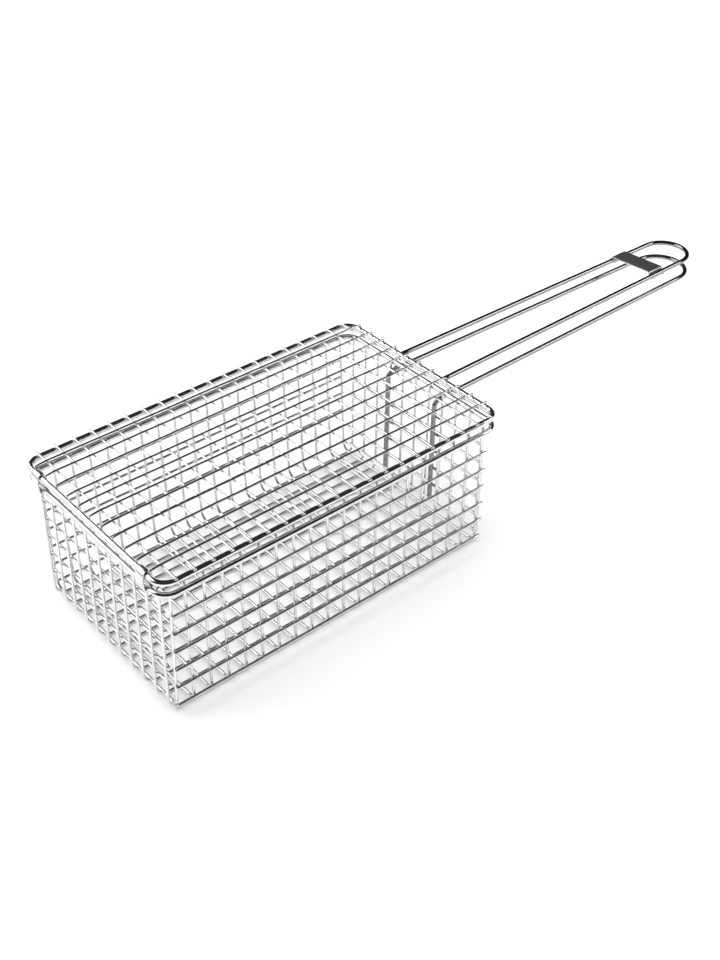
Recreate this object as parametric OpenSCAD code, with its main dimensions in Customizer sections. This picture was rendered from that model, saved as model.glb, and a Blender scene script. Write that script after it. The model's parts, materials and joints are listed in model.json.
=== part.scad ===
// Long-handled grill basket: a deep welded-wire box with a flat hinged wire lid.
// The hinge end is at -X, the two handle loops reach out to +X, and the table is at z = 0.

/* [Wire] */
// Diameter of the two rim frames
rim_d = 3.8; // [3:0.1:4.8]
// Diameter of the two handle loops
handle_d = 3.5; // [3:0.1:4.1]
// Diameter of the basket's mesh wires
mesh_d = 1.9; // [1.4:0.1:1.9]
// Diameter of the lid's mesh wires
lid_mesh_d = 1.5; // [1.2:0.1:1.8]

/* [Rims] */
// Length of a rim, centre to centre of its wire
rim_length = 254; // [253:1:258]
// Width of a rim, centre to centre of its wire
rim_width = 149; // [147:1:153]
// Corner radius of a rim, at the wire's centre
rim_corner = 9.5; // [8:0.5:10]
// Height of the basket rim's wire centre above the table
basket_rim_z = 94.5; // [90:0.5:100]
// Height of the lid rim above the basket rim, centre to centre
lid_rise = 8.6; // [8:0.1:10]

/* [Basket mesh] */
// Number of full crosswise hoops
cross_hoop_count = 19; // [17:1:19]
// Spacing of the crosswise hoops
cross_pitch = 12.62; // [12:0.02:12.7]
// Place of the first crosswise hoop, at the handle end
first_hoop_x = 116.3; // [116:0.1:117]
// Number of lengthwise hoops
long_hoop_count = 11; // [9:1:11]
// Spacing of the lengthwise hoops
long_pitch = 13.12; // [13:0.02:13.14]
// Number of horizontal rows on each wall
row_count = 6; // [5:1:6]
// Spacing of the rows
row_pitch = 14; // [12:0.5:14]
// Height of the lowest row
first_row_z = 7.4; // [6.8:0.1:8]
// Inward lean of the long walls from rim to floor
wall_lean = 2.5; // [1:0.5:4]
// Shift of the floor towards the hinge end, which makes both end walls lean
end_lean = 2.5; // [0:0.5:2.5]
// Bend radius of the crosswise hoops
side_bend = 6; // [4:0.5:7]
// Bend radius of the lengthwise hoops at the hinge end
hinge_bend = 9; // [8:0.5:12]
// Bend radius of the lengthwise hoops at the handle end
handle_bend = 5; // [4:0.5:5]

/* [Lid mesh] */
// Number of crosswise lid wires
lid_cross_count = 20; // [16:1:20]
// Number of lengthwise lid wires
lid_long_count = 11; // [9:2:11]
// Spacing of the lid wires both ways
lid_pitch = 12.5; // [12.44:0.02:12.5]
// Distance of the crosswise lid wires' middle from the middle of the rim
lid_shift = 0.9; // [0:0.1:2]

/* [Handles] */
// Half spread of the lower loop where it leaves the basket
lower_spread = 23.2; // [22.8:0.1:23.4]
// Radius of the lower loop's round end
lower_tip_r = 19.3; // [18.5:0.1:20]
// Centre of the lower loop's round end, along X
lower_tip_x = 371.7; // [360:0.1:380]
// Height of the lower ends of the lower loop's two legs
leg_foot_z = 13; // [9:0.5:30]
// Radius of the bend from leg to handle
leg_bend = 5; // [4:0.5:7]
// Half spread of the upper loop where it meets the lid
upper_spread = 20.6; // [19.5:0.1:21]
// Radius of the upper loop's round end
upper_tip_r = 17; // [16:0.1:18]
// Centre of the upper loop's round end, along X
upper_tip_x = 375.5; // [365:0.1:385]

/* [Handle plate] */
// Length of the plate along the handle
plate_w = 14.5; // [10:0.5:20]
// Middle of the plate, along X
plate_x = 345.7; // [330:0.1:350]
// Thickness of the plate's sheet
plate_t = 0.9; // [0.6:0.1:1.2]
// Skew of the plate's two edges, in degrees
plate_skew = 5; // [0:1:8]

/* [Hinge straps] */
// Width of a strap along the rims
strap_w = 7.8; // [5.8:0.5:7.8]
// Distance of each strap's middle from the middle of the rim
strap_y = 57.5; // [57.4:0.1:57.6]
// Inner radius of a strap's round ends
strap_r = 2.5; // [2.4:0.1:2.8]
// Thickness of a strap's sheet
strap_t = 0.9; // [0.6:0.1:1.2]

/* [Hidden] */
$fn = 48;
// hair's breadth between wires that are spot-welded where they cross
weld_gap = 0.05;
// clear space round the lid rim inside a strap, at the top of its travel
hinge_gap = 0.3;
crossing = mesh_d + weld_gap;
// how far a bend runs on into the straight wire beside it, and how much thinner it is
bend_lap = 0.1;
bend_step = 0.02;

lid_rim_z = basket_rim_z + lid_rise;
lid_cross_z = lid_rim_z + (rim_d + lid_mesh_d) / 2 + weld_gap;
lid_long_z = lid_cross_z + lid_mesh_d + weld_gap;
// how far the crosswise lid wires stick out past the middle of the rim's wire
lid_overhang = 2.4;
// the lengthwise lid wires dip to the rim this far past the outermost crosswise ones
lid_dip_clear = 1.4;
lid_dip_r = 6;
// ends of the lengthwise lid wires, at the hinge end and at the handle end
lid_tips_x = [0.5 - rim_length / 2, rim_length / 2 + 0.5];

// centre lines of the basket's wires, outermost layer first
floor_z = mesh_d / 2;
cross_floor_z = floor_z + crossing;
end_x = rim_length / 2 - (rim_d + mesh_d) / 2 - weld_gap;
side_y = rim_width / 2 - (rim_d + mesh_d) / 2 - weld_gap;
hoop_top_z = basket_rim_z + rim_d / 2;
upright_top_z = basket_rim_z + 1.5;
lean = atan2(wall_lean, basket_rim_z - cross_floor_z);
end_tilt = atan2(end_lean, basket_rim_z - floor_z);
// the hoop at the hinge end lies in the lengthwise hoops' bend and leans with the end wall
corner_run_z = 5.5;
corner_top_z = basket_rim_z - rim_d / 2 - weld_gap;
hinge_bend_x = -end_x - end_lean + hinge_bend * (1 + sin(end_tilt)) / cos(end_tilt);
corner_run_x = hinge_bend_x
    - sqrt(pow(hinge_bend - crossing, 2) - pow(floor_z + hinge_bend - corner_run_z, 2));
// how far the rows reach past the hoop at the hinge end
row_overhang = 0.8;
row_end_x = 119.5;
end_row_half = 67.5;

// the lower loop runs under the basket rim, and its legs stand against the end wall's rows
lower_z = basket_rim_z - (rim_d + handle_d) / 2 - weld_gap;
leg_inset = (crossing + (mesh_d + handle_d) / 2 + weld_gap) / cos(end_tilt);
leg_x = end_x - (basket_rim_z - lower_z) * tan(end_tilt) - leg_inset;
leg_foot_shift = (lower_z - leg_foot_z) * tan(end_tilt);
// the upper loop's ends are sunk a little way into the lid rim's outer side
upper_z = lid_rim_z - 0.6;
upper_x = rim_length / 2 + rim_d / 2 - 0.7;

plate_gap = 0.15;
plate_roll = handle_d / 2 + plate_gap;
plate_tuck = 1.2;

strap_low_z = basket_rim_z - rim_d / 2 + strap_r - weld_gap;
strap_high_z = lid_rim_z + rim_d / 2 + hinge_gap - strap_r;

function two_digits(k) = str(k < 10 ? "0" : "", k);

// Unit vector from one point to another.
function heading(a, b) = (b - a) / norm(b - a);

// Turn at point i of a bent wire, in degrees, positive to the left.
function turn_at(p, i) =
    let (n = len(p), u = heading(p[(i + n - 1) % n], p[i]), v = heading(p[i], p[(i + 1) % n]))
    atan2(u[0] * v[1] - u[1] * v[0], u[0] * v[0] + u[1] * v[1]);

// Length that the bend at point i takes from each straight run beside it.
function setback(p, r, i) = r[i] * tan(abs(turn_at(p, i)) / 2);

// Slope of the tangent from the start of a handle's side to its round end, in degrees.
function closing_angle(half, run, r) = acos(r / norm([half, run])) - atan2(run, half);

// Straight wire between two points of the XY plane.
module run_wire(a, b, d) {
    translate([a[0], a[1], 0])
        rotate([0, 90, atan2(b[1] - a[1], b[0] - a[0])])
            cylinder(d = d, h = norm(b - a));
}

// Round bend in the XY plane about the origin, a hair thinner than the wire and lapped into its runs.
module bend_wire(r, d, from, sweep) {
    lap = bend_lap / r * 180 / PI;
    rotate([0, 0, from - lap])
        rotate_extrude(angle = sweep + 2 * lap)
            translate([r, 0])
                circle(d = d - bend_step);
}

// Wire bent in the XY plane: straight runs between the points p, with a bend of radius r[i] at point i.
module bent_wire(p, r, d, closed = false) {
    n = len(p);
    for (i = [0:(closed ? n : n - 1) - 1]) {
        j = (i + 1) % n;
        u = heading(p[i], p[j]);
        near = !closed && i == 0 ? 0 : setback(p, r, i);
        far = !closed && j == n - 1 ? 0 : setback(p, r, j);
        run_wire(p[i] + near * u, p[j] - far * u, d);
    }
    for (i = [(closed ? 0 : 1):(closed ? n : n - 1) - 1]) {
        u = heading(p[(i + n - 1) % n], p[i]);
        turn = turn_at(p, i);
        side = sign(turn);
        centre = p[i] - setback(p, r, i) * u + side * r[i] * [-u[1], u[0]];
        start = atan2(-side * u[0], side * u[1]);
        translate([centre[0], centre[1], 0])
            bend_wire(r[i], d, turn > 0 ? start : start + turn, abs(turn));
    }
}

// Stands an XY drawing up in the YZ plane.
module across() {
    rotate([90, 0, 90]) children();
}

// Stands an XY drawing up in the XZ plane.
module along() {
    rotate([90, 0, 0]) children();
}

// Rounded rectangle of heavy wire, lying flat.
module rim_frame() {
    x = rim_length / 2;
    y = rim_width / 2;
    bent_wire([[x, y], [-x, y], [-x, -y], [x, -y]], [for (k = [1:4]) rim_corner], rim_d, true);
}

module basket_rim() {
    color("silver")
        translate([0, 0, basket_rim_z]) rim_frame();
}

module lid_rim() {
    color("silver")
        translate([0, 0, lid_rim_z]) rim_frame();
}

// Place along X of crosswise lid wire k, counted from the hinge end, starting at 0.
function lid_cross_x(k) = lid_shift + (k - (lid_cross_count - 1) / 2) * lid_pitch;

// Crosswise wires, laid on the lid rim from side to side.
module lid_cross_wires() {
    tip = rim_width / 2 + lid_overhang;
    color("silver")
        for (k = [0:lid_cross_count - 1])
            translate([lid_cross_x(k), 0, lid_cross_z])
                run_wire([0, -tip], [0, tip], lid_mesh_d);
}

// Lengthwise wires, laid over the crosswise ones and dipping to the rim at both ends.
module lid_long_wires() {
    outline = [
        [lid_tips_x[0], lid_cross_z], [lid_cross_x(0) - lid_dip_clear, lid_long_z],
        [lid_cross_x(lid_cross_count - 1) + lid_dip_clear, lid_long_z], [lid_tips_x[1], lid_cross_z]
    ];
    color("silver")
        for (k = [0:lid_long_count - 1])
            translate([0, (k - (lid_long_count - 1) / 2) * lid_pitch, 0])
                along() bent_wire(outline, [0, lid_dip_r, lid_dip_r, 0], lid_mesh_d);
}

// One crosswise hoop: wall, floor, wall, open at the top; x is the place of its floor run.
module side_hoop(x, run_z, top_z, tilt = 0) {
    foot = side_y - (basket_rim_z - run_z) * tan(lean);
    head = side_y + (top_z - basket_rim_z) * tan(lean);
    rise = (top_z - run_z) / cos(tilt);
    outline = [[-head, rise], [-foot, 0], [foot, 0], [head, rise]];
    translate([x, 0, run_z])
        rotate([0, tilt, 0])
            across() bent_wire(outline, [0, side_bend, side_bend, 0], mesh_d);
}

module cross_hoop(k) {
    color("silver")
        side_hoop(first_hoop_x - (k - 1) * cross_pitch, cross_floor_z, hoop_top_z);
}

module corner_hoop() {
    color("silver")
        side_hoop(corner_run_x, corner_run_z, corner_top_z, end_tilt);
}

// Place along X of an end wall at this height; end is 1 at the handle end and -1 at the hinge end.
function end_wall_x(end, z) = end * end_x - (basket_rim_z - z) * tan(end_tilt);

// One lengthwise hoop: hinge-end wall, floor, handle-end wall.
module long_hoop(k) {
    outline = [
        [end_wall_x(-1, upright_top_z), upright_top_z], [end_wall_x(-1, floor_z), floor_z],
        [end_wall_x(1, floor_z), floor_z], [end_wall_x(1, upright_top_z), upright_top_z]
    ];
    color("silver")
        translate([0, ((long_hoop_count + 1) / 2 - k) * long_pitch, 0])
            along() bent_wire(outline, [0, hinge_bend, handle_bend, 0], mesh_d);
}

// Height of row n, counted from the floor up, starting at 0.
function row_z(n) = first_row_z + n * row_pitch;

// Horizontal rows on the outside of one long wall; side is 1 for the rear and -1 for the front.
module side_rows(side) {
    color("silver")
        for (n = [0:row_count - 1]) {
            y = side_y - (basket_rim_z - row_z(n)) * tan(lean) + crossing / cos(lean);
            start_x = corner_run_x + (row_z(n) - corner_run_z) * tan(end_tilt) - row_overhang;
            translate([0, side * y, row_z(n)])
                run_wire([start_x, 0], [row_end_x, 0], mesh_d);
        }
}

// Horizontal rows on the inside of an end wall, from row first upward.
module end_rows(end, first) {
    color("silver")
        for (n = [first:row_count - 1])
            translate([end_wall_x(end, row_z(n)) - end * crossing / cos(end_tilt), 0, row_z(n)])
                run_wire([0, -end_row_half], [0, end_row_half], mesh_d);
}

// Round end of a handle loop.
module handle_tip(tip_x, r, a) {
    translate([tip_x, 0, 0])
        bend_wire(r, handle_d, a - 90, 180 - 2 * a);
}

// Lid's handle: two closing sides and a round end.
module upper_handle() {
    run = upper_tip_x - upper_x;
    a = closing_angle(upper_spread, run, upper_tip_r);
    color("silver")
        translate([0, 0, upper_z]) {
            for (side = [-1, 1])
                run_wire(
                    [upper_x, side * upper_spread],
                    [upper_tip_x + upper_tip_r * sin(a), side * upper_tip_r * cos(a)],
                    handle_d
                );
            handle_tip(upper_tip_x, upper_tip_r, a);
        }
}

// Basket's handle: like the lid's, with a leg bent down inside the end wall on each side.
module lower_handle() {
    run = lower_tip_x - leg_x;
    a = closing_angle(lower_spread, run, lower_tip_r);
    side_length = norm([run + lower_tip_r * sin(a), lower_spread - lower_tip_r * cos(a)]);
    outline = [[-leg_foot_shift, leg_foot_z], [0, lower_z], [side_length, lower_z]];
    color("silver") {
        for (side = [-1, 1])
            translate([leg_x, side * lower_spread, 0])
                rotate([0, 0, -side * a])
                    along() bent_wire(outline, [0, leg_bend, 0], handle_d);
        translate([0, 0, lower_z])
            handle_tip(lower_tip_x, lower_tip_r, a);
    }
}

// Ring of the plate's sheet round one side of the loop, kept where its children reach.
module sheet_roll(y) {
    translate([y, 0])
        intersection() {
            difference() {
                circle(r = plate_roll + plate_t);
                circle(r = plate_roll);
            }
            children();
        }
}

// Section of the plate: rolled round the rear wire, flat on top, hooked down inside the front wire.
module plate_section(half) {
    outer = plate_roll + plate_t;
    sheet_roll(half)
        union() {
            translate([0, -outer]) square([outer, 2 * outer]);
            translate([-plate_tuck, -outer]) square([plate_tuck, outer]);
        }
    translate([outer - half, plate_roll]) square([2 * half - outer, plate_t]);
    translate([outer - half, plate_roll])
        intersection() {
            circle(r = plate_t);
            translate([-plate_t, 0]) square(plate_t);
        }
    translate([plate_roll - half, 0]) square([plate_t, plate_roll]);
    sheet_roll(-half)
        translate([-plate_tuck, -outer]) square([outer + plate_tuck, outer]);
}

// Blank sheet plate that ties the two sides of the upper loop together.
module handle_plate() {
    run = upper_tip_x - upper_x;
    a = closing_angle(upper_spread, run, upper_tip_r);
    half = upper_spread - (plate_x - upper_x) * tan(a);
    reach = half + plate_roll + plate_t;
    shear = reach * tan(plate_skew);
    edge = plate_w / 2;
    color("gray")
        translate([plate_x, 0, upper_z])
            intersection() {
                translate([-plate_w, 0, 0])
                    across() linear_extrude(2 * plate_w) plate_section(half);
                translate([0, 0, -plate_w])
                    linear_extrude(2 * plate_w)
                        polygon([
                            [shear - edge, -reach], [shear + edge, -reach],
                            [edge - shear, reach], [-edge - shear, reach]
                        ]);
            }
}

// Outline of a strap's loop: a slot with round ends.
module strap_outline(r) {
    translate([0, strap_low_z]) circle(r = r);
    translate([0, strap_high_z]) circle(r = r);
    translate([-r, strap_low_z]) square([2 * r, strap_high_z - strap_low_z]);
}

// Loose sheet loop round both rims.
module hinge_strap(side) {
    color("gainsboro")
        translate([-rim_length / 2, side * strap_y + strap_w / 2, 0])
            along()
                linear_extrude(strap_w)
                    difference() {
                        strap_outline(strap_r + strap_t);
                        strap_outline(strap_r);
                    }
}

basket_rim();
lid_rim();
lid_cross_wires();
lid_long_wires();
upper_handle();
handle_plate();
lower_handle();
hinge_strap(-1);  // hinge_strap_front
hinge_strap(1);  // hinge_strap_rear
corner_hoop();
for (k = [1:cross_hoop_count])
    cross_hoop(k);
for (k = [1:long_hoop_count])
    long_hoop(k);
side_rows(-1);  // front_rows
side_rows(1);  // rear_rows
end_rows(-1, 1);  // hinge_end_rows
end_rows(1, 0);  // handle_end_rows
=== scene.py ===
import json
import math
import random

import bpy
from mathutils import Matrix, Vector


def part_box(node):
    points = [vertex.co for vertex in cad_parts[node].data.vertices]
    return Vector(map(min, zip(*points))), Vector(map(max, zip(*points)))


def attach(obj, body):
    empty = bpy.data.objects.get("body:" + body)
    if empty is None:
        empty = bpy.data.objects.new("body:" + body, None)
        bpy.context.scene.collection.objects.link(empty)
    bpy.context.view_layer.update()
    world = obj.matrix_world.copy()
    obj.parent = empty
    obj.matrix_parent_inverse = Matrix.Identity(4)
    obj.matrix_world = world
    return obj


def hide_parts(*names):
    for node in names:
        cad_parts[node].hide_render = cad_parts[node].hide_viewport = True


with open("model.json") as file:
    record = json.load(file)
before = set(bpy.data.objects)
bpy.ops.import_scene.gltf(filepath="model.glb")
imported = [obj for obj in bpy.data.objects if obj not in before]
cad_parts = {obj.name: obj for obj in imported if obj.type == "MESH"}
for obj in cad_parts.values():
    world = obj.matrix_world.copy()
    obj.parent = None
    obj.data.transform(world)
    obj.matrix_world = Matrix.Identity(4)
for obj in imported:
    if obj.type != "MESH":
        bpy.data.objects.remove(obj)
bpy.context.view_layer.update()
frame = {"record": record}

record = frame["record"]
BODY = {node: body for body, nodes in record["behaviour"]["bodies"].items() for node in nodes}
SLOT = {part["node"]: part["material_slot"] for part in record["subparts"]}
random.seed(11)

MM = 0.001
X, Y, Z = Vector((1, 0, 0)), Vector((0, 1, 0)), Vector((0, 0, 1))

# ---- bends and counts of the basket, as in its CAD model ----
RIM_CORNER = 9.5 * MM
SIDE_BEND = 6 * MM
HINGE_BEND = 9 * MM
HANDLE_BEND = 5 * MM
LEG_BEND = 5 * MM
LID_DIP_CLEAR = 1.4 * MM
LOWER_TIP_R = 19.3 * MM
UPPER_TIP_R = 17 * MM
ROW_COUNT = 6
HINGE_ROW_COUNT = 5
LID_CROSS_COUNT = 20
LID_LONG_COUNT = 11
PLATE_SKEW = math.radians(5)
PLATE_GAP = 0.15 * MM
PLATE_SHEET = 0.9 * MM
STRAP_SHEET = 0.9 * MM

# ---- bends of the looks alone: a dip gentler than the CAD's, and how far the plate rolls ----
LID_DIP_BEND = 12 * MM
LID_DIP_DROP = 0.75 * MM
PLATE_TUCK = math.radians(35)
PLATE_HOOK = math.radians(110)

# ---- fineness of the meshes ----
RUN_STEP = 6 * MM
BEND_STEP = math.radians(9)
THIN_SIDES = 16
THICK_SIDES = 28
THICK_WIRE = 1 * MM
EDGE_STEPS = 3
SHARP_ANGLE = math.radians(50)
UV_PER_METRE = 100

# ---- slight waver of the thin wires: three waves of random size, length and start ----
SWAY = 0.14 * MM
SWAY_WAVES = 3
SWAY_SIZES = (0.25, 1)
SWAY_LENGTHS = (0.03, 0.09)
SWAY_STARTS = (0, 6.3)
SWAY_TURN = 6.283
SEED_LID_CROSS, SEED_LID_LONG = 0, 40
SEED_SIDE_ROWS, SEED_HOOPS = 60, 80
SEED_LONG_HOOPS, SEED_END_ROWS = 120, 140
SEED_PER_SIDE = 10

# ---- rounding of cut ends and sheet edges ----
THIN_END = 0.4 * MM
UPPER_HANDLE_END = 0.3 * MM
LOWER_HANDLE_END = 0.7 * MM
PLATE_EDGE = 0.22 * MM
PLATE_END = 0.15 * MM
STRAP_EDGE = 0.25 * MM
STRAP_END = 0.12 * MM
STRAP_SEAM = 0.1 * MM

# ---- weld beads: mesh, random spread, flatness, and sizes as shares of a wire's radius ----
BEAD_AROUND = 8
BEAD_RINGS = 4
BEAD_SWELL = (0.85, 1.15)
BEAD_LENGTH = (0.9, 1.1)
BEAD_FLAT = 0.72
BEAD_CROSSING = 0.8
BEAD_LID_RIM = 0.85
BEAD_LID_TIP = 1.15
BEAD_BASKET_RIM = 0.95
BEAD_LEG = 1.1
BEAD_UNDER_RIM = 1.5
BEAD_UPPER_HANDLE = 1.15

# ---- where the beads sit ----
LID_TIP_PAST_RIM = 0.5 * MM
LID_TIP_BEAD_DROP = 0.8
BASKET_RIM_BEAD_OUT = 0.9
UPPER_HANDLE_BEAD_IN = 0.4 * MM
UPPER_HANDLE_BEAD_DROP = 0.6 * MM
LOWER_HANDLE_BEAD_IN = 0.5 * MM


# ================= paths =================

def steps(a, b):
    """Points from a up to but not including b, no further apart than RUN_STEP."""
    count = max(1, math.ceil((b - a).length / RUN_STEP))
    return [a.lerp(b, k / count) for k in range(count)]


def arc(centre, start, across, angle):
    """Points on an arc about centre: from centre + start, turning towards across.

    across is as long as start, and at right angles to it."""
    count = max(2, math.ceil(angle / BEND_STEP))
    turns = [angle * k / count for k in range(count + 1)]
    return [centre + start * math.cos(t) + across * math.sin(t) for t in turns]


def rounded(points, radii, closed=False):
    """Path through the points, bent round at each one with its own radius."""
    count = len(points)
    bends = []
    for i in range(count):
        if not closed and i in (0, count - 1):
            bends.append([points[i]])
            continue
        u = (points[i] - points[i - 1]).normalized()
        v = (points[(i + 1) % count] - points[i]).normalized()
        angle = u.angle(v)
        inward = (v - u * math.cos(angle)).normalized() * radii[i]
        centre = points[i] - u * radii[i] * math.tan(angle / 2) + inward
        bends.append(arc(centre, -inward, u * radii[i], angle))
    path = []
    for i, bend in enumerate(bends):
        path += bend[:-1]
        if closed or i < count - 1:
            path += steps(bend[-1], bends[(i + 1) % count][0])
        else:
            path.append(bend[-1])
    return path


def sway(path, axis, seed):
    """The path with a slight handmade waver along one axis."""
    rng = random.Random(seed)
    waves = [
        (rng.uniform(*SWAY_SIZES) * SWAY / 2, rng.uniform(*SWAY_LENGTHS), rng.uniform(*SWAY_STARTS))
        for _ in range(SWAY_WAVES)
    ]
    out, s = [], 0.0
    for i, point in enumerate(path):
        s += (point - path[i - 1]).length if i else 0.0
        shifts = [size * math.sin(s / length * SWAY_TURN + start) for size, length, start in waves]
        out.append(point + axis * sum(shifts))
    return out


# ================= meshes =================

def circle_profile(radius, sides):
    turns = [math.tau * k / sides for k in range(sides)]
    return [(radius * math.cos(t), radius * math.sin(t)) for t in turns]


def strip_profile(thick, wide, edge):
    """Section of a sheet strip with rounded edges: thickness first, width second."""
    out = []
    for quarter, (a, b) in enumerate([(1, 1), (-1, 1), (-1, -1), (1, -1)]):
        for k in range(EDGE_STEPS + 1):
            t = math.pi / 2 * (quarter + k / EDGE_STEPS)
            through = a * (thick / 2 - edge) + edge * math.cos(t)
            across = b * (wide / 2 - edge) + edge * math.sin(t)
            out.append((through, across))
    return out


def add_uv(mesh, uvs):
    layer = mesh.uv_layers.new(name="along")
    for loop, uv in zip(layer.data, uvs):
        loop.uv = uv


def smooth_mesh(name, verts, faces, uvs, sharp_angle=None):
    mesh = bpy.data.meshes.new(name)
    mesh.from_pydata(verts, [], faces)
    add_uv(mesh, uvs)
    mesh.polygons.foreach_set("use_smooth", [True] * len(mesh.polygons))
    if sharp_angle:
        mesh.set_sharp_from_angle(angle=sharp_angle)
    obj = bpy.data.objects.new(name, mesh)
    bpy.context.scene.collection.objects.link(obj)
    return obj


def trimmed(path, length):
    """The path without its last stretch of this length."""
    path = list(path)
    while len(path) > 2 and (path[-1] - path[-2]).length <= length:
        length -= (path[-1] - path[-2]).length
        path.pop()
    path[-1] = path[-1] + (path[-2] - path[-1]).normalized() * length
    return path


def sweep(name, path, profile, side, closed=False, end_round=0.0, shear=0.0):
    """A profile carried along a path without twist, its ends rounded off by end_round.

    UVs run once round the profile, and along the path at 1 per centimetre."""
    ends = []
    if not closed and end_round:
        first, last = path[0], path[-1]
        path = trimmed(path, end_round)
        path = trimmed(path[::-1], end_round)[::-1]
        for k in range(1, EDGE_STEPS + 1):
            t = math.pi / 2 * k / EDGE_STEPS
            ends.append((math.sin(t), end_round * (1 - math.cos(t))))
        head = [(path[0].lerp(first, f), inset) for f, inset in reversed(ends)]
        tail = [(path[-1].lerp(last, f), inset) for f, inset in ends]
        rings = head + [(p, 0.0) for p in path] + tail
    else:
        rings = [(p, 0.0) for p in path]
    count, sides = len(rings), len(profile)
    reach = max(math.hypot(a, b) for a, b in profile)
    points = [p for p, _ in rings]
    verts, along, s = [], [], 0.0
    for i, (point, inset) in enumerate(rings):
        before = points[i - 1] if i or closed else point
        after = points[(i + 1) % count] if i < count - 1 or closed else point
        tangent = (after - before).normalized()
        side = (side - tangent * side.dot(tangent)).normalized()
        out = side.cross(tangent)
        shrink = 1 - inset / reach
        verts += [point + (out * a + side * b) * shrink for a, b in profile]
        s += (point - points[i - 1]).length if i else 0.0
        along.append(s * UV_PER_METRE)
    faces, uvs = [], []
    for i in range(count if closed else count - 1):
        j = (i + 1) % count
        v0, v1 = along[i], along[j]
        if j == 0:
            v1 = v0 + (points[0] - points[i]).length * UV_PER_METRE
        for k in range(sides):
            m = (k + 1) % sides
            faces.append((i * sides + k, i * sides + m, j * sides + m, j * sides + k))
            uvs += [(k / sides, v0), ((k + 1) / sides, v0), ((k + 1) / sides, v1), (k / sides, v1)]
    if not closed:
        faces.append(tuple(reversed(range(sides))))
        faces.append(tuple((count - 1) * sides + k for k in range(sides)))
        uvs += [(0.5 + a / reach / 2, b / reach / 2) for a, b in reversed(profile)]
        uvs += [(0.5 + a / reach / 2, b / reach / 2) for a, b in profile]
    if shear:
        verts = [v - X * (shear * v.y) for v in verts]
    return smooth_mesh(name, verts, faces, uvs, sharp_angle=SHARP_ANGLE)


def join(name, objects):
    """One object from several, with their meshes in order."""
    verts, faces, uvs = [], [], []
    for obj in objects:
        mesh, base = obj.data, len(verts)
        verts += [v.co.copy() for v in mesh.vertices]
        faces += [tuple(base + i for i in p.vertices) for p in mesh.polygons]
        uvs += [tuple(loop.uv) for loop in mesh.uv_layers[0].data]
        bpy.data.objects.remove(obj)
        bpy.data.meshes.remove(mesh)
    return smooth_mesh(name, verts, faces, uvs, sharp_angle=SHARP_ANGLE)


def wire(name, path, radius, side, closed=False, end_round=THIN_END):
    sides = THICK_SIDES if radius > THICK_WIRE else THIN_SIDES
    return sweep(name, path, circle_profile(radius, sides), side, closed, end_round)


def weld_nuggets(name, spots):
    """Small flattened beads, one at each (place, direction of contact, size)."""
    around, rings = BEAD_AROUND, BEAD_RINGS
    verts, faces = [], []
    for place, contact, size in spots:
        turn = contact.to_track_quat("Z", "Y").to_matrix()
        base = len(verts)
        swell = random.uniform(*BEAD_SWELL)
        shape = Vector((size * swell, size * random.uniform(*BEAD_LENGTH), size * BEAD_FLAT))
        verts.append(place + turn @ Vector((0, 0, shape.z)))
        for r in range(1, rings):
            fall = math.pi * r / rings
            for k in range(around):
                t = math.tau * k / around
                point = (math.sin(fall) * math.cos(t), math.sin(fall) * math.sin(t), math.cos(fall))
                verts.append(place + turn @ Vector([c * f for c, f in zip(point, shape)]))
        verts.append(place - turn @ Vector((0, 0, shape.z)))
        for k in range(around):
            m = (k + 1) % around
            faces.append((base, base + 1 + k, base + 1 + m))
            for r in range(rings - 2):
                a, b = base + 1 + r * around, base + 1 + (r + 1) * around
                faces.append((a + k, b + k, b + m, a + m))
            last = base + 1 + (rings - 2) * around
            faces.append((last + k, base + 1 + (rings - 1) * around, last + m))
    uvs = [(0.0, 0.0)] * sum(len(f) for f in faces)
    return smooth_mesh(name, verts, faces, uvs)


def take_place(piece, node):
    """The piece stands for a CAD node, rides on its body and takes its slot and metal."""
    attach(piece, BODY[node])
    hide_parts(node)
    piece.data.materials.append(MATERIAL[SLOT[node]])


# ================= materials =================

BLOTCH_SCALE, TONE_STOPS = 160.0, (0.32, 0.62)
GRAIN_DEPTH_UNIT, POLISH_STOPS = 0.02 * MM, (0.25, 0.75)
WEAR_SCALE, SPOT_STOPS = 420.0, (0.6, 0.75)
PAPER_SCALE, PAPER_STOPS, PAPER_TONES = 900.0, (0.3, 0.7), (0.86, 0.9)


def node_tools(name):
    """A new node material, its tree and main shader, and a function that adds a node to it."""
    material = bpy.data.materials.new(name)
    material.use_nodes = True
    tree = material.node_tree
    shader = tree.nodes["Principled BSDF"]

    def add(kind, **values):
        node = tree.nodes.new(kind)
        for key, value in values.items():
            if key in node.inputs:
                node.inputs[key].default_value = value
            else:
                setattr(node, key, value)
        return node

    return material, tree, shader, add


def ramp(add, places, values):
    """Colour ramp with two stops, each a grey or a colour."""
    node = add("ShaderNodeValToRGB")
    for stop, place, value in zip(node.color_ramp.elements, places, values):
        stop.position = place
        stop.color = (*value, 1) if isinstance(value, tuple) else (value, value, value, 1)
    return node


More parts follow.
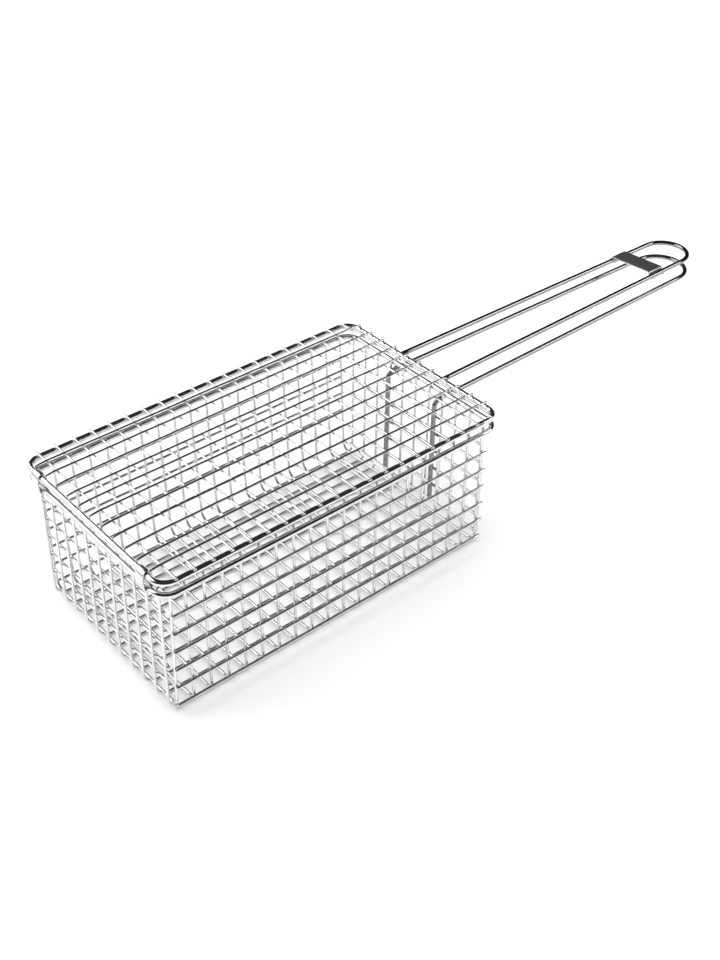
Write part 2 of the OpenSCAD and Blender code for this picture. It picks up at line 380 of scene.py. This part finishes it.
def metal(name, colour, dull, rough, rough_spread, grain, grain_depth, spot_rough):
    """Bare metal: uneven tone, drawn or brushed grain along the UVs, and worn spots.

    The tone wanders between colour and dull. grain is the grain lines' UV scale, round or
    across the piece and along it. Worn spots are rougher by spot_rough."""
    material, tree, shader, add = node_tools(name)
    link = tree.links.new
    shader.inputs["Metallic"].default_value = 1.0
    place = add("ShaderNodeTexCoord")

    blotch = add("ShaderNodeTexNoise", Scale=BLOTCH_SCALE, Detail=4.0, Roughness=0.6)
    link(place.outputs["Object"], blotch.inputs["Vector"])
    tone = ramp(add, TONE_STOPS, (dull, colour))
    link(blotch.outputs["Fac"], tone.inputs["Fac"])
    link(tone.outputs["Color"], shader.inputs["Base Color"])

    uv = add("ShaderNodeUVMap", uv_map="along")
    stretch = add("ShaderNodeMapping")
    stretch.inputs["Scale"].default_value = (*grain, 1.0)
    link(uv.outputs["UV"], stretch.inputs["Vector"])
    lines = add("ShaderNodeTexNoise", Scale=1.0, Detail=6.0, Roughness=0.7)
    link(stretch.outputs["Vector"], lines.inputs["Vector"])

    polish = ramp(add, POLISH_STOPS, (rough - rough_spread, rough + rough_spread))
    link(lines.outputs["Fac"], polish.inputs["Fac"])
    wear = add("ShaderNodeTexNoise", Scale=WEAR_SCALE, Detail=3.0, Roughness=0.55)
    link(place.outputs["Object"], wear.inputs["Vector"])
    spots = ramp(add, SPOT_STOPS, (0.0, spot_rough))
    link(wear.outputs["Fac"], spots.inputs["Fac"])
    total = add("ShaderNodeMath", operation="ADD", use_clamp=True)
    link(polish.outputs["Color"], total.inputs[0])
    link(spots.outputs["Color"], total.inputs[1])
    link(total.outputs["Value"], shader.inputs["Roughness"])

    bump = add("ShaderNodeBump", Strength=grain_depth, Distance=GRAIN_DEPTH_UNIT)
    link(lines.outputs["Fac"], bump.inputs["Height"])
    link(bump.outputs["Normal"], shader.inputs["Normal"])
    return material


BRIGHT = (0.86, 0.86, 0.87)
BRIGHT_DULL = (0.68, 0.68, 0.69)
MATERIAL = {
    "rim_wire": metal(
        "polished_rim_wire", BRIGHT, BRIGHT_DULL,
        rough=0.10, rough_spread=0.04, grain=(14.0, 0.7), grain_depth=0.25, spot_rough=0.10,
    ),
    "mesh_wire": metal(
        "bright_mesh_wire", BRIGHT, BRIGHT_DULL,
        rough=0.14, rough_spread=0.05, grain=(8.0, 0.9), grain_depth=0.30, spot_rough=0.12,
    ),
    # painted shade: the handle wire gets a much darker metal colour than the other steel wires,
    # standing in for the dark surroundings its polished loops mirror
    "handle_wire": metal(
        "polished_handle_wire_painted_shade", (0.36, 0.36, 0.365), (0.30, 0.30, 0.305),
        rough=0.07, rough_spread=0.03, grain=(14.0, 0.6), grain_depth=0.20, spot_rough=0.08,
    ),
    "plate_sheet": metal(
        "brushed_plate", (0.84, 0.84, 0.845), (0.74, 0.74, 0.745),
        rough=0.46, rough_spread=0.10, grain=(160.0, 2.0), grain_depth=0.7, spot_rough=0.05,
    ),
    "strap_sheet": metal(
        "bright_strap", (0.80, 0.80, 0.81), (0.68, 0.68, 0.69),
        rough=0.28, rough_spread=0.08, grain=(90.0, 1.5), grain_depth=0.4, spot_rough=0.08,
    ),
}
WELD_METAL = metal(
    "weld_bead", (0.46, 0.455, 0.46), (0.22, 0.21, 0.21),
    rough=0.34, rough_spread=0.08, grain=(1.0, 1.0), grain_depth=0.1, spot_rough=0.2,
)


def floor_paper():
    """Matt white paper with a faint tooth."""
    material, tree, shader, add = node_tools("studio_paper")
    link = tree.links.new
    place = add("ShaderNodeTexCoord")
    tooth = add("ShaderNodeTexNoise", Scale=PAPER_SCALE, Detail=3.0)
    link(place.outputs["Object"], tooth.inputs["Vector"])
    tone = ramp(add, PAPER_STOPS, PAPER_TONES)
    link(tooth.outputs["Fac"], tone.inputs["Fac"])
    link(tone.outputs["Color"], shader.inputs["Base Color"])
    shader.inputs["Roughness"].default_value = FLOOR_ROUGH
    shader.inputs["Specular IOR Level"].default_value = FLOOR_GLOSS
    return material


# ================= the wires, placed from the frame =================

def box_of(node):
    low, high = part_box(node)
    return Vector(low), Vector(high)


def even(first, last, count):
    """Evenly spaced places from first to last."""
    return [first + (last - first) * k / (count - 1) for k in range(count)]


def rim(node):
    """Round-cornered frame of thick wire; returns its height and its half sizes."""
    low, high = box_of(node)
    r = (high.z - low.z) / 2
    z = low.z + r
    x, y = high.x - r, high.y - r
    corners = [Vector((a * x, b * y, z)) for a, b in ((1, 1), (-1, 1), (-1, -1), (1, -1))]
    take_place(wire(node, rounded(corners, [RIM_CORNER] * 4, True), r, Z, closed=True), node)
    return z, x, y


def rim_side_y(at_x, x, y):
    """Where the rim's long side passes at this place along X, its corners included."""
    into = abs(at_x) - (x - RIM_CORNER)
    return y if into <= 0 else y - RIM_CORNER + math.sqrt(RIM_CORNER**2 - min(into, RIM_CORNER)**2)


basket_rim_z, rim_x, rim_y = rim("basket_rim")
rim("lid_rim")
lid_spots, basket_spots = [], []

# lid mesh: crosswise wires on the rim, then lengthwise wires over them, dipping at their ends
low, high = box_of("lid_cross_wires")
lid_thin = (high.z - low.z) / 2
lid_cross_z = low.z + lid_thin
lid_cross_x = even(low.x + lid_thin, high.x - lid_thin, LID_CROSS_COUNT)
tip_y = high.y
parts = []
for k, x in enumerate(lid_cross_x):
    path = steps(Vector((x, -tip_y, lid_cross_z)), Vector((x, tip_y, lid_cross_z)))
    path.append(Vector((x, tip_y, lid_cross_z)))
    parts.append(wire("strand", sway(path, X, SEED_LID_CROSS + k), lid_thin, Z))
    for side in (-1, 1):
        y = side * rim_side_y(x, rim_x, rim_y)
        lid_spots.append((Vector((x, y, lid_cross_z - lid_thin)), Z, BEAD_LID_RIM * lid_thin))
take_place(join("lid_cross_wires_bright", parts), "lid_cross_wires")

low, high = box_of("lid_long_wires")
lid_long_z = high.z - lid_thin
lid_long_y = even(low.y + lid_thin, high.y - lid_thin, LID_LONG_COUNT)
tip_z = lid_long_z - LID_DIP_DROP
crossing_z = (lid_long_z + lid_cross_z) / 2
dips = (lid_cross_x[0] - LID_DIP_CLEAR, lid_cross_x[-1] + LID_DIP_CLEAR)
ends = ((low.x, tip_z), (dips[0], lid_long_z), (dips[1], lid_long_z), (high.x, tip_z))
parts = []
for k, y in enumerate(lid_long_y):
    corners = [Vector((x, y, z)) for x, z in ends]
    path = rounded(corners, [0, LID_DIP_BEND, LID_DIP_BEND, 0])
    parts.append(wire("strand", sway(path, Y, SEED_LID_LONG + k), lid_thin, Y))
    for x in lid_cross_x:
        lid_spots.append((Vector((x, y, crossing_z)), Z, BEAD_CROSSING * lid_thin))
    for x in (low.x, high.x - LID_TIP_PAST_RIM):
        place = Vector((x, y, lid_cross_z - LID_TIP_BEAD_DROP * lid_thin))
        lid_spots.append((place, Z, BEAD_LID_TIP * lid_thin))
take_place(join("lid_long_wires_bright", parts), "lid_long_wires")

# rows of the long walls; these walls' and the end walls' rows also give the walls' slopes
low, high = box_of("cross_hoop_01")
thin = (high.x - low.x) / 2
low, high = box_of("front_rows")
row_z = even(low.z + thin, high.z - thin, ROW_COUNT)
row_y = even(-(high.y - thin), -(low.y + thin), ROW_COUNT)
slope = (row_y[-1] - row_y[0]) / (row_z[-1] - row_z[0])
row_start, row_end = low.x, high.x
low, high = box_of("hinge_end_rows")
end_slope = (high.x - low.x - 2 * thin) / (row_z[-1] - row_z[ROW_COUNT - HINGE_ROW_COUNT])
for node, side in (("front_rows", -1), ("rear_rows", 1)):
    parts = []
    for k, (y, z) in enumerate(zip(row_y, row_z)):
        a = Vector((row_start + (z - row_z[0]) * end_slope, side * y, z))
        b = Vector((row_end, side * y, z))
        seed = SEED_SIDE_ROWS + SEED_PER_SIDE * side + k
        parts.append(wire("strand", sway(steps(a, b) + [b], Z, seed), thin, Z))
    take_place(join(node + "_bright", parts), node)

# crosswise hoops
cross_nodes = sorted(n for n in BODY if n.startswith("cross_hoop_"))
for k, node in enumerate(cross_nodes + ["corner_hoop"]):
    low, high = box_of(node)
    x, run_z, top_z = low.x + thin, low.z + thin, high.z
    lean = X * (end_slope if node == "corner_hoop" else 0.0)
    head = high.y - thin
    foot = head - (top_z - run_z) * slope
    ends = ((-head, top_z), (-foot, run_z), (foot, run_z), (head, top_z))
    corners = [Vector((x, y, z)) + lean * (z - run_z) for y, z in ends]
    path = rounded(corners, [0, SIDE_BEND, SIDE_BEND, 0])
    take_place(wire(node + "_bright", sway(path, X, SEED_HOOPS + k), thin, X), node)
    for side in (-1, 1):
        out = Vector((0, side, 0))
        for y, z in zip(row_y, row_z):
            place = Vector((x, side * (y - thin), z)) + lean * (z - run_z)
            basket_spots.append((place, out, BEAD_CROSSING * thin))
        weld_z = min(basket_rim_z, top_z - thin)
        out_y = head + BASKET_RIM_BEAD_OUT * thin
        place = Vector((x, side * out_y, weld_z)) + lean * (weld_z - run_z)
        basket_spots.append((place, out, BEAD_BASKET_RIM * thin))


def end_wall_x(side, z):
    """Where an end wall's lengthwise wires are along X at this height."""
    return side * end_x - (basket_rim_z - z) * end_slope


# lengthwise hoops, outermost of all
long_nodes = sorted(n for n in BODY if n.startswith("long_hoop_"))
cross_boxes = [box_of(n) for n in cross_nodes]
for k, node in enumerate(long_nodes):
    low, high = box_of(node)
    y, floor_z, top_z = (low.y + high.y) / 2, low.z + thin, high.z
    end_x = high.x - thin - (top_z - basket_rim_z) * end_slope
    ends = ((-1, top_z), (-1, floor_z), (1, floor_z), (1, top_z))
    corners = [Vector((end_wall_x(side, z), y, z)) for side, z in ends]
    path = rounded(corners, [0, HINGE_BEND, HANDLE_BEND, 0])
    take_place(wire(node + "_bright", sway(path, Y, SEED_LONG_HOOPS + k), thin, Y), node)
    for a, b in cross_boxes:
        basket_spots.append((Vector(((a.x + b.x) / 2, y, 2 * thin)), Z, BEAD_CROSSING * thin))
    for side, first in ((-1, ROW_COUNT - HINGE_ROW_COUNT), (1, 0)):
        for z in row_z[first:]:
            place = Vector((end_wall_x(side, z) - side * thin, y, z))
            basket_spots.append((place, X, BEAD_CROSSING * thin))
        place = Vector((side * (end_x + thin), y, basket_rim_z))
        basket_spots.append((place, X, BEAD_BASKET_RIM * thin))

# rows of the end walls
end_rows = (("hinge_end_rows", HINGE_ROW_COUNT, -1), ("handle_end_rows", ROW_COUNT, 1))
for node, count, side in end_rows:
    low, high = box_of(node)
    parts = []
    for k, z in enumerate(even(low.z + thin, high.z - thin, count)):
        x = low.x + thin + (z - low.z - thin) * end_slope
        a, b = Vector((x, low.y, z)), Vector((x, high.y, z))
        seed = SEED_END_ROWS + SEED_PER_SIDE * side + k
        parts.append(wire("strand", sway(steps(a, b) + [b], Z, seed), thin, Z))
    take_place(join(node + "_bright", parts), node)


# ================= handles =================

def closing_angle(half, run, r):
    """Slope of a handle's side from its start to where it meets the round end."""
    return math.acos(r / math.hypot(half, run)) - math.atan2(run, half)


def loop_end(tip_x, r, angle, z):
    """Round end of a handle, from the rear side to the front side."""
    first = Vector((math.sin(angle), math.cos(angle), 0)) * r
    onward = Vector((math.cos(angle), -math.sin(angle), 0)) * r
    return arc(Vector((tip_x, 0, z)), first, onward, math.pi - 2 * angle)


def mirrored(path):
    return [Vector((p.x, -p.y, p.z)) for p in reversed(path)]


# the lid's loop: two closing sides and a round end
low, high = box_of("upper_handle")
handle_r = (high.z - low.z) / 2
upper_z = low.z + handle_r
upper_half = high.y - handle_r
upper_tip_x = high.x - handle_r - UPPER_TIP_R
angle = closing_angle(upper_half, upper_tip_x - low.x, UPPER_TIP_R)
end = loop_end(upper_tip_x, UPPER_TIP_R, angle, upper_z)
rear_side = steps(Vector((low.x, upper_half, upper_z)), end[0])
path = rear_side + end + mirrored(rear_side)
loop = wire("upper_handle_bright", path, handle_r, Z, end_round=UPPER_HANDLE_END)
take_place(loop, "upper_handle")
for side in (-1, 1):
    bead_x, bead_z = low.x + UPPER_HANDLE_BEAD_IN, upper_z - UPPER_HANDLE_BEAD_DROP
    place = Vector((bead_x, side * upper_half, bead_z))
    lid_spots.append((place, X, BEAD_UPPER_HANDLE * handle_r))

# the basket's loop, with a leg bent down inside the end wall on each side
low, high = box_of("lower_handle")
lower_z = high.z - handle_r
lower_half = high.y - handle_r
leg_shift = (lower_z - low.z) * end_slope
leg_x = low.x + handle_r + leg_shift
lower_tip_x = high.x - handle_r - LOWER_TIP_R
angle = closing_angle(lower_half, lower_tip_x - leg_x, LOWER_TIP_R)
end = loop_end(lower_tip_x, LOWER_TIP_R, angle, lower_z)
leg = [Vector((leg_x - leg_shift, lower_half, low.z)), Vector((leg_x, lower_half, lower_z)), end[0]]
rear_side = rounded(leg, [0, LEG_BEND, 0])[:-1]
path = rear_side + end + mirrored(rear_side)
loop = wire("lower_handle_bright", path, handle_r, Y, end_round=LOWER_HANDLE_END)
take_place(loop, "lower_handle")
for side in (-1, 1):
    for z in row_z[1:]:
        touch = leg_x + handle_r - (lower_z - z) * end_slope
        basket_spots.append((Vector((touch, side * lower_half, z)), X, BEAD_LEG * thin))
    bead_x = rim_x - LOWER_HANDLE_BEAD_IN
    place = Vector((bead_x, side * lower_half, lower_z + handle_r))
    basket_spots.append((place, Z, BEAD_UNDER_RIM * thin))

# plate: rolled round the rear side of the upper loop, flat on top, and hooked down inside
# the front side
low, high = box_of("handle_plate")
plate_mid = Vector(((low.x + high.x) / 2, 0, upper_z))
roll = handle_r + PLATE_GAP + PLATE_SHEET / 2
half = high.y - PLATE_SHEET / 2 - roll
reach = half + roll + PLATE_SHEET / 2
plate_wide = (high.x - low.x) - 2 * reach * math.tan(PLATE_SKEW)
rear = arc(plate_mid + Y * half, -Z * roll, Y * roll, math.pi)
tuck_start = (-Z * math.cos(PLATE_TUCK) - Y * math.sin(PLATE_TUCK)) * roll
tuck_across = (Z * math.sin(PLATE_TUCK) + Y * math.cos(PLATE_TUCK)) * roll
under = arc(plate_mid + Y * half, tuck_start, tuck_across, PLATE_TUCK)[:-1]
front = plate_mid - Y * (half - roll)
fold = rounded([rear[-1], front + Z * roll, front], [0, PLATE_SHEET, 0])[1:-1]
hook = arc(plate_mid - Y * half, Y * roll, -Z * roll, PLATE_HOOK)
strip = strip_profile(PLATE_SHEET, plate_wide, PLATE_EDGE)
path = under + rear + fold + hook
skew = math.tan(PLATE_SKEW)
plate = sweep("handle_plate_brushed", path, strip, X, end_round=PLATE_END, shear=skew)
take_place(plate, "handle_plate")

# straps: sheet strips bent into slot-shaped loops, their ends meeting on the basket's side
for node in ("hinge_strap_front", "hinge_strap_rear"):
    low, high = box_of(node)
    mid = (low + high) / 2
    bend = (high.x - low.x) / 2 - STRAP_SHEET / 2
    straight = Vector((0, 0, (high.z - low.z) / 2 - STRAP_SHEET / 2 - bend))
    seam = mid + X * bend
    upper = arc(mid + straight, X * bend, Z * bend, math.pi)
    lower = arc(mid - straight, -X * bend, -Z * bend, math.pi)
    path = [seam + Z * STRAP_SEAM] + upper + lower + [seam - Z * STRAP_SEAM]
    strip = strip_profile(STRAP_SHEET, high.y - low.y, STRAP_EDGE)
    take_place(sweep(node + "_bright", path, strip, Y, end_round=STRAP_END), node)

# weld beads, one mesh for each body
welds = (("lid_welds", lid_spots, "lid"), ("basket_welds", basket_spots, "basket"))
for name, spots, body in welds:
    beads = weld_nuggets(name, spots)
    beads.data.materials.append(WELD_METAL)
    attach(beads, body)


# ================= studio =================

FLOOR_HALF = 1.3
FLOOR_ROUGH = 0.9
FLOOR_GLOSS = 0.1
DIM = (0.03, 0.03, 0.031, 1)
WHITE = (1, 1, 1, 1)

# name, place, aim, size, power in watts, and whether the metal mirrors it
LIGHTS = (
    ("overhead_fill", (0.5, 0.5, 2.5), (0.5, 0.5, 0.0), (6.0, 6.0), 195, False),
    ("back_softbox", (-0.80, 1.25, 1.12), (0.0, 0.0, 0.05), (1.9, 1.4), 22, True),
    ("strip_softbox", (0.98, -0.66, 0.56), (0.98, 0.0, 0.1), (0.60, 0.43), 3, True),
)

CAMERA_PLACE = Vector((-0.396, -0.569, 0.5945))
CAMERA_TOWARDS = Vector((0.5076, 0.6140, -0.6045))
CAMERA_ROLL = math.radians(-0.45)
LENS_MM = 68.45
SENSOR_MM = 36


def soft_light(name, place, aim, size, power, mirrored_in_metal):
    data = bpy.data.lights.new(name, "AREA")
    data.shape = "RECTANGLE"
    data.size, data.size_y = size
    data.energy = power
    obj = bpy.data.objects.new(name, data)
    bpy.context.scene.collection.objects.link(obj)
    obj.location = place
    obj.rotation_euler = (Vector(aim) - Vector(place)).to_track_quat("-Z", "Y").to_euler()
    obj.visible_glossy = mirrored_in_metal


def dim_room():
    """Dark surroundings for the wires to mirror, with a white backdrop behind the floor."""
    world = bpy.data.worlds.new("dim_room")
    world.use_nodes = True
    tree = world.node_tree
    link = tree.links.new
    dark = tree.nodes["Background"]
    dark.inputs["Color"].default_value = DIM
    backdrop = tree.nodes.new("ShaderNodeBackground")
    backdrop.inputs["Color"].default_value = WHITE
    rays = tree.nodes.new("ShaderNodeLightPath")
    mix = tree.nodes.new("ShaderNodeMixShader")
    link(rays.outputs["Is Camera Ray"], mix.inputs["Fac"])
    link(dark.outputs["Background"], mix.inputs[1])
    link(backdrop.outputs["Background"], mix.inputs[2])
    link(mix.outputs["Shader"], tree.nodes["World Output"].inputs["Surface"])
    return world


def studio():
    """Pale floor, soft lights and the room round them."""
    corners = [(a * FLOOR_HALF, b * FLOOR_HALF, 0) for a, b in ((-1, -1), (1, -1), (1, 1), (-1, 1))]
    uvs = [(0, 0), (1, 0), (1, 1), (0, 1)]
    paper = smooth_mesh("studio_floor", corners, [(0, 1, 2, 3)], uvs)
    paper.data.materials.append(floor_paper())
    for light in LIGHTS:
        soft_light(*light)
    bpy.context.scene.world = dim_room()
    bpy.context.scene.view_settings.view_transform = "Standard"


def camera():
    data = bpy.data.cameras.new("camera")
    data.lens = LENS_MM
    data.sensor_width = SENSOR_MM
    data.sensor_fit = "HORIZONTAL"
    obj = bpy.data.objects.new("camera", data)
    bpy.context.scene.collection.objects.link(obj)
    turn = CAMERA_TOWARDS.to_track_quat("-Z", "Y").to_matrix().to_4x4()
    roll = Matrix.Rotation(CAMERA_ROLL, 4, "Z")
    obj.matrix_world = Matrix.Translation(CAMERA_PLACE) @ turn @ roll
    bpy.context.scene.camera = obj


studio()
camera()
